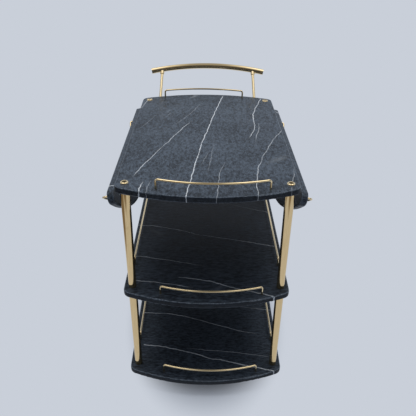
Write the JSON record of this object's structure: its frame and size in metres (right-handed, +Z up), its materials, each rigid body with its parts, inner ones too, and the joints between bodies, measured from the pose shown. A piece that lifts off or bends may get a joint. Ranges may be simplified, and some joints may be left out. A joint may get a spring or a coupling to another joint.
{
  "type": "folding tea trolley",
  "caption": "tea trolley with stone tiers on tapered brass posts, brass gallery rails, a push handle, casters and hinged drop leaves on slotted stays",
  "frame": {"origin": "on the floor, in the middle of the whole length and width with the leaves hanging", "axes": "+Z is up, +Y points to the handle end, and +X to the right-hand leaf seen from the open end"},
  "size_m": [0.5508, 0.8719, 0.7882],
  "materials": {
    "black_marble": "honed black marble with pale veins",
    "brass": "polished pale brass",
    "steel": "zinc-plated steel",
    "wheel_plastic": "dark hard wheel plastic"
  },
  "bodies": {
    "frame": {"top_slab": "black_marble", "middle_shelf": "black_marble", "bottom_shelf": "black_marble", "upper_post_near_left": "brass", "lower_post_near_left": "brass", "upper_post_near_right": "brass", "lower_post_near_right": "brass", "upper_post_far_left": "brass", "lower_post_far_left": "brass", "upper_post_far_right": "brass", "lower_post_far_right": "brass", "cup_washers": "brass", "top_screws": "brass", "joining_studs": "steel", "base_screws": "steel", "top_rail_near": "brass", "top_rail_far": "brass", "middle_rail_near": "brass", "middle_rail_far": "brass", "middle_rail_left": "brass", "middle_rail_right": "brass", "bottom_rail_near": "brass", "bottom_rail_far": "brass", "bottom_rail_left": "brass", "bottom_rail_right": "brass", "handle_bar": "brass", "handle_rod_left": "brass", "handle_rod_right": "brass", "handle_clamps": "brass", "fixing_screws": "steel", "hinge_frame_plates": "brass", "hinge_pins": "steel", "stay_hangers": "brass", "stay_studs": "steel", "caster_plates": "steel", "kingpins": "steel"},
    "left_drop_leaf": {"left_leaf": "black_marble", "left_leaf_rail": "brass", "left_hinge_plates": "brass", "left_leaf_screws": "steel", "left_stay_brackets": "brass"},
    "left_stays": {"left_stay_links": "brass"},
    "right_drop_leaf": {"right_leaf": "black_marble", "right_leaf_rail": "brass", "right_hinge_plates": "brass", "right_leaf_screws": "steel", "right_stay_brackets": "brass"},
    "right_stays": {"right_stay_links": "brass"},
    "caster_near_left": {"caster_fork_near_left": "steel", "caster_axle_near_left": "steel"},
    "wheel_near_left": {"caster_wheel_near_left": "wheel_plastic"},
    "caster_near_right": {"caster_fork_near_right": "steel", "caster_axle_near_right": "steel"},
    "wheel_near_right": {"caster_wheel_near_right": "wheel_plastic"},
    "caster_far_left": {"caster_fork_far_left": "steel", "caster_axle_far_left": "steel"},
    "wheel_far_left": {"caster_wheel_far_left": "wheel_plastic"},
    "caster_far_right": {"caster_fork_far_right": "steel", "caster_axle_far_right": "steel"},
    "wheel_far_right": {"caster_wheel_far_right": "wheel_plastic"}
  },
  "joints": [
    {"name": "left_leaf_hinge", "type": "hinge", "parent": "frame", "child": "left_drop_leaf", "pos_m": [-0.2315, -0.04297, 0.669], "axis": [0, 1, 0], "range_deg": [0, 102]},
    {"name": "left_stays_turn", "type": "hinge", "parent": "left_drop_leaf", "child": "left_stays", "pos_m": [-0.21322, -0.04297, 0.61185], "axis": [0, 1, 0], "range_deg": [-51, 0]},
    {"name": "right_leaf_hinge", "type": "hinge", "parent": "frame", "child": "right_drop_leaf", "pos_m": [0.2315, -0.04297, 0.669], "axis": [0, -1, 0], "range_deg": [0, 102]},
    {"name": "right_stays_turn", "type": "hinge", "parent": "right_drop_leaf", "child": "right_stays", "pos_m": [0.21322, -0.04297, 0.61185], "axis": [0, -1, 0], "range_deg": [-51, 0]},
    {"name": "near_left_swivel", "type": "hinge", "parent": "frame", "child": "caster_near_left", "pos_m": [-0.172, -0.32897, 0.0442], "axis": [0, 0, 1], "continuous": true},
    {"name": "near_left_wheel_turn", "type": "hinge", "parent": "caster_near_left", "child": "wheel_near_left", "pos_m": [-0.172, -0.31297, 0.019], "axis": [1, 0, 0], "continuous": true},
    {"name": "near_right_swivel", "type": "hinge", "parent": "frame", "child": "caster_near_right", "pos_m": [0.172, -0.32897, 0.0442], "axis": [0, 0, 1], "continuous": true},
    {"name": "near_right_wheel_turn", "type": "hinge", "parent": "caster_near_right", "child": "wheel_near_right", "pos_m": [0.172, -0.31297, 0.019], "axis": [1, 0, 0], "continuous": true},
    {"name": "far_left_swivel", "type": "hinge", "parent": "frame", "child": "caster_far_left", "pos_m": [-0.172, 0.24303, 0.0442], "axis": [0, 0, 1], "continuous": true},
    {"name": "far_left_wheel_turn", "type": "hinge", "parent": "caster_far_left", "child": "wheel_far_left", "pos_m": [-0.172, 0.25903, 0.019], "axis": [1, 0, 0], "continuous": true},
    {"name": "far_right_swivel", "type": "hinge", "parent": "frame", "child": "caster_far_right", "pos_m": [0.172, 0.24303, 0.0442], "axis": [0, 0, 1], "continuous": true},
    {"name": "far_right_wheel_turn", "type": "hinge", "parent": "caster_far_right", "child": "wheel_far_right", "pos_m": [0.172, 0.25903, 0.019], "axis": [1, 0, 0], "continuous": true}
  ],
  "couplings": [
    {"joint": "left_stays_turn", "follows": "left_leaf_hinge", "ratio": -0.5},
    {"joint": "right_stays_turn", "follows": "right_leaf_hinge", "ratio": -0.5}
  ]
}
